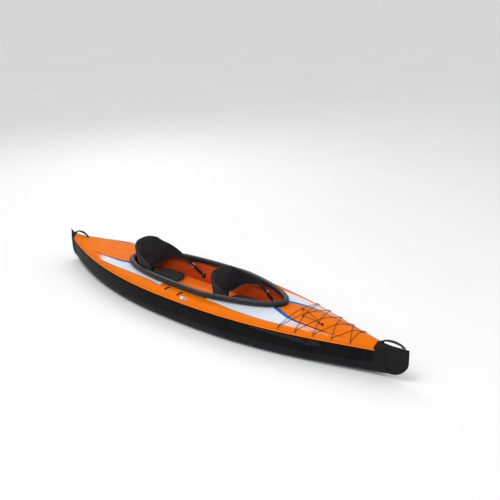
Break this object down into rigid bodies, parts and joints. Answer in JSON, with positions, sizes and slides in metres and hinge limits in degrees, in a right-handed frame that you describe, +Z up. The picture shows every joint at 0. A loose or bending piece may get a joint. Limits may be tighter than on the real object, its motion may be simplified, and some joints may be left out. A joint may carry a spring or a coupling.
{
  "type": "inflatable kayak",
  "caption": "Decked inflatable touring kayak with a long open cockpit, a raised coaming, folding strap-held seats, laced bow deck and carry handles.",
  "frame": {"origin": "on the ground at the middle of the overall length and beam", "axes": "+X towards the bow, +Y to port, +Z up"},
  "size_m": [4.3, 0.8898, 0.5155],
  "materials": {
    "hull_fabric": "coated",
    "side_fabric": "coated",
    "black_fabric": "coated",
    "deck_fabric": "coated",
    "piping": "coated",
    "lining_fabric": "coated",
    "bladder": "satin",
    "floor_fabric": "coated",
    "coaming_fabric": "woven",
    "batten": "satin",
    "webbing": "woven",
    "fitting": "moulded",
    "seat_fabric": "woven",
    "metal": "brushed",
    "valve": "moulded",
    "valve_plug": "moulded",
    "cord": "braided",
    "patch": "coated"
  },
  "bodies": {
    "hull": {"hull_bottom": "hull_fabric", "hull_side_port": "side_fabric", "hull_side_starboard": "side_fabric", "bow_cap": "black_fabric", "stern_cap": "black_fabric", "deck_bow": "deck_fabric", "deck_stern": "deck_fabric", "deck_side_port": "deck_fabric", "deck_side_starboard": "deck_fabric", "edge_piping_port": "piping", "edge_piping_starboard": "piping", "lining_port": "lining_fabric", "lining_starboard": "lining_fabric", "chamber_port": "bladder", "chamber_starboard": "bladder", "floor_chamber": "floor_fabric", "coaming_sleeve": "coaming_fabric", "coaming_tube": "bladder", "deck_batten_bow": "batten", "deck_batten_stern": "batten", "handle_anchors": "fitting", "seat_hinges": "seat_fabric", "aft_seat_cushion": "seat_fabric", "aft_strap_port": "webbing", "aft_strap_starboard": "webbing", "aft_buckles": "metal", "front_seat_cushion": "seat_fabric", "front_strap_port": "webbing", "front_strap_starboard": "webbing", "front_buckles": "metal", "strap_rings": "metal", "strap_patches": "fitting", "valve_base_port": "valve", "valve_base_starboard": "valve", "valve_base_floor": "valve", "coaming_valve": "valve", "lacing_loops": "fitting", "deck_lacing": "cord", "cord_lock": "fitting", "paddle_strap_aft": "webbing", "paddle_strap_fore": "webbing", "paddle_loop": "webbing", "deck_patch": "patch"},
    "aft_back": {"aft_backrest": "seat_fabric", "aft_wing_port": "seat_fabric", "aft_wing_starboard": "seat_fabric"},
    "front_back": {"front_backrest": "seat_fabric", "front_wing_port": "seat_fabric", "front_wing_starboard": "seat_fabric"},
    "bow_grip": {"bow_handle": "webbing"},
    "stern_grip": {"stern_handle": "webbing"},
    "coaming_plug": {"coaming_valve_plug": "valve_plug"},
    "lock_button": {"cord_lock_button": "fitting"},
    "port_valve_cap": {"valve_cap_port": "valve"},
    "port_valve_plug": {"valve_plug_port": "valve_plug"},
    "starboard_valve_cap": {"valve_cap_starboard": "valve"},
    "starboard_valve_plug": {"valve_plug_starboard": "valve_plug"},
    "floor_valve_cap": {"valve_cap_floor": "valve"},
    "floor_valve_plug": {"valve_plug_floor": "valve_plug"}
  },
  "joints": [
    {"name": "aft_backrest_fold", "type": "hinge", "parent": "hull", "child": "aft_back", "pos_m": [-0.89, 0, 0.1941], "axis": [0, 1, 0], "range_deg": [-8, 40], "deforming": ["aft_wing_port", "aft_wing_starboard", "aft_strap_port", "aft_strap_starboard"]},
    {"name": "front_backrest_fold", "type": "hinge", "parent": "hull", "child": "front_back", "pos_m": [0.14, 0, 0.1941], "axis": [0, 1, 0], "range_deg": [-12, 40], "deforming": ["front_wing_port", "front_wing_starboard", "front_strap_port", "front_strap_starboard"]},
    {"name": "bow_handle_tilt", "type": "hinge", "parent": "hull", "child": "bow_grip", "pos_m": [1.905, 0, 0.2985], "axis": [0.9992, 0, 0.0409], "range_deg": [-60, 60]},
    {"name": "stern_handle_tilt", "type": "hinge", "parent": "hull", "child": "stern_grip", "pos_m": [-2.062, 0, 0.3135], "axis": [1, 0, -0.0003], "range_deg": [-60, 60]},
    {"name": "port_valve_cap_turn", "type": "hinge", "parent": "hull", "child": "port_valve_cap", "pos_m": [-0.94, 0.20945, 0.20071], "axis": [0.1563, -0.9804, 0.12], "range_deg": [0, 540]},
    {"name": "port_valve_plug_turn", "type": "hinge", "parent": "hull", "child": "port_valve_plug", "pos_m": [-0.94, 0.20945, 0.20071], "axis": [0.1563, -0.9804, 0.12], "range_deg": [0, 180]},
    {"name": "starboard_valve_cap_turn", "type": "hinge", "parent": "hull", "child": "starboard_valve_cap", "pos_m": [-0.94, -0.20945, 0.20071], "axis": [0.1563, 0.9804, 0.12], "range_deg": [0, 540]},
    {"name": "starboard_valve_plug_turn", "type": "hinge", "parent": "hull", "child": "starboard_valve_plug", "pos_m": [-0.94, -0.20945, 0.20071], "axis": [0.1563, 0.9804, 0.12], "range_deg": [0, 180]},
    {"name": "floor_valve_cap_turn", "type": "hinge", "parent": "hull", "child": "floor_valve_cap", "pos_m": [-0.95, 0.06, 0.1221], "axis": [0, 0, 1], "range_deg": [0, 540]},
    {"name": "floor_valve_plug_turn", "type": "hinge", "parent": "hull", "child": "floor_valve_plug", "pos_m": [-0.95, 0.06, 0.1221], "axis": [0, 0, 1], "range_deg": [0, 180]},
    {"name": "coaming_plug_pull", "type": "slide", "parent": "hull", "child": "coaming_plug", "axis": [0.7136, -0.7005, 0], "range_m": [0, 0.012]},
    {"name": "cord_lock_press", "type": "slide", "parent": "hull", "child": "lock_button", "axis": [0, 0, -1], "range_m": [0, 0.004], "stiffness_N_per_m": 500}
  ]
}
